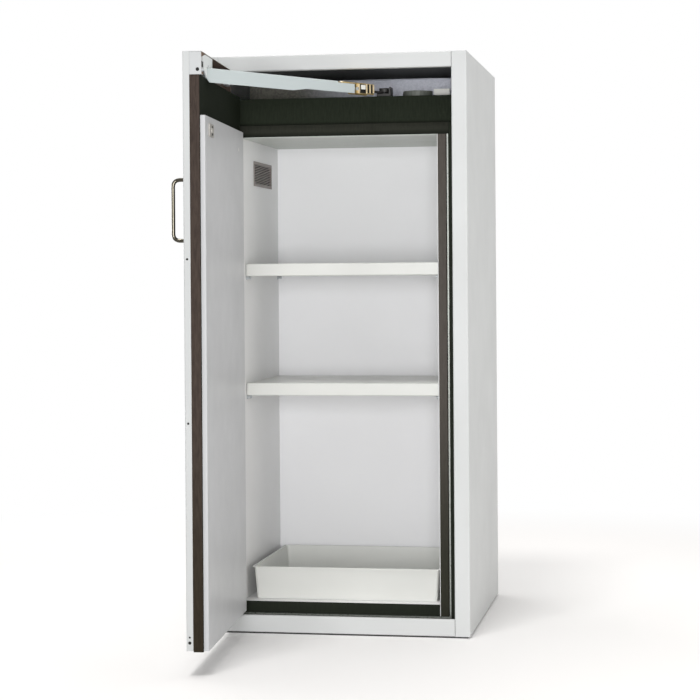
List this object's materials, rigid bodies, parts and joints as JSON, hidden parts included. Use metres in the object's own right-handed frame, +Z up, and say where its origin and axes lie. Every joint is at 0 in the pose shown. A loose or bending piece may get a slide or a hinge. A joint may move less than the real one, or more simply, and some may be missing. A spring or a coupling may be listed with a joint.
{
  "type": "safety storage cabinet",
  "caption": "Upright fire-resistant storage cabinet with a hinged wing door, a folding hold-open stay, loose shelves on pins and a spill tray",
  "frame": {"origin": "underside of the base plate, in the middle of the cabinet's width and depth; the open door isn't counted", "axes": "+Z up, -Y towards the viewer out of the opening, +X to the viewer's right; the door is drawn open as in the picture"},
  "size_m": [0.596, 1.1083, 1.298],
  "materials": {
    "paint": "light grey powder coat, fine texture",
    "liner_paint": "light grey smooth coat",
    "fire_board": "raw dark fire board",
    "board_edge": "dark brown edge of fire board",
    "coated_board": "light grey coated board",
    "galvanised": "galvanised sheet, satin",
    "zinc": "zinc-plated, satin",
    "gilt": "yellow zinc plate",
    "chrome": "polished",
    "black_plastic": "matt",
    "white_plastic": "matt",
    "grey_plastic": "matt"
  },
  "bodies": {
    "carcass": {"side_panel_left": "paint", "side_panel_right": "paint", "top_panel": "paint", "sill": "paint", "back_panel": "paint", "base_plate": "black_plastic", "valve_rim": "black_plastic", "catch_block": "black_plastic", "floor_board": "fire_board", "ceiling_board": "fire_board", "back_board": "fire_board", "insulation_left": "fire_board", "insulation_right": "fire_board", "insulation_back": "fire_board", "insulation_base": "fire_board", "header": "fire_board", "side_board_left": "board_edge", "side_board_right": "board_edge", "liner_left": "liner_paint", "liner_right": "liner_paint", "liner_floor": "liner_paint", "liner_ceiling": "liner_paint", "liner_back": "liner_paint", "duct": "galvanised", "trim_sill": "zinc", "trim_left": "zinc", "trim_right": "zinc", "valve_disc": "zinc", "pivot_pin_top": "zinc", "pivot_pin_bottom": "zinc", "shelf_pin_upper_left_front": "zinc", "shelf_pin_upper_left_rear": "zinc", "shelf_pin_upper_right_front": "zinc", "shelf_pin_upper_right_rear": "zinc", "shelf_pin_lower_left_front": "zinc", "shelf_pin_lower_left_rear": "zinc", "shelf_pin_lower_right_front": "zinc", "shelf_pin_lower_right_rear": "zinc", "stop_block": "white_plastic", "vent_grille": "grey_plastic"},
    "door_leaf": {"door_skin": "paint", "door_core": "board_edge", "door_inner_panel": "coated_board", "door_end_cap": "paint", "pivot_block_top": "zinc", "pivot_block_bottom": "zinc", "door_handle": "chrome", "strike_plate": "zinc", "stay_bracket": "paint", "stay_pivot_pin": "zinc"},
    "stay": {"stay_arm": "zinc", "stay_elbow_pin": "zinc"},
    "catch_link": {"catch_link": "gilt", "catch_hook": "black_plastic"},
    "upper_shelf": {"shelf_upper": "paint"},
    "lower_shelf": {"shelf_lower": "paint"},
    "tray": {"spill_tray": "paint"}
  },
  "joints": [
    {"name": "door_hinge", "type": "hinge", "parent": "carcass", "child": "door_leaf", "pos_m": [-0.244, -0.2975, 0.65], "axis": [0, 0, 1], "range_deg": [0, 85.8]},
    {"name": "stay_fold", "type": "hinge", "parent": "door_leaf", "child": "stay", "pos_m": [-0.19303, -0.70486, 1.2], "axis": [0, 0, 1], "range_deg": [0, 36.9]},
    {"name": "catch_link_fold", "type": "hinge", "parent": "stay", "child": "catch_link", "pos_m": [0.02739, -0.36152, 1.2], "axis": [0, 0, 1], "range_deg": [-122.6, 0]},
    {"name": "shelf_upper_lift", "type": "slide", "parent": "carcass", "child": "upper_shelf", "axis": [0, 0, 1], "range_m": [0, 0.05]},
    {"name": "shelf_lower_lift", "type": "slide", "parent": "carcass", "child": "lower_shelf", "axis": [0, 0, 1], "range_m": [0, 0.05]},
    {"name": "tray_slide", "type": "slide", "parent": "carcass", "child": "tray", "axis": [0, -1, 0], "range_m": [0, 0.026]}
  ],
  "couplings": [
    {"joint": "stay_fold", "follows": "door_hinge", "ratio": 0.43007},
    {"joint": "catch_link_fold", "follows": "door_hinge", "ratio": -1.4289}
  ]
}
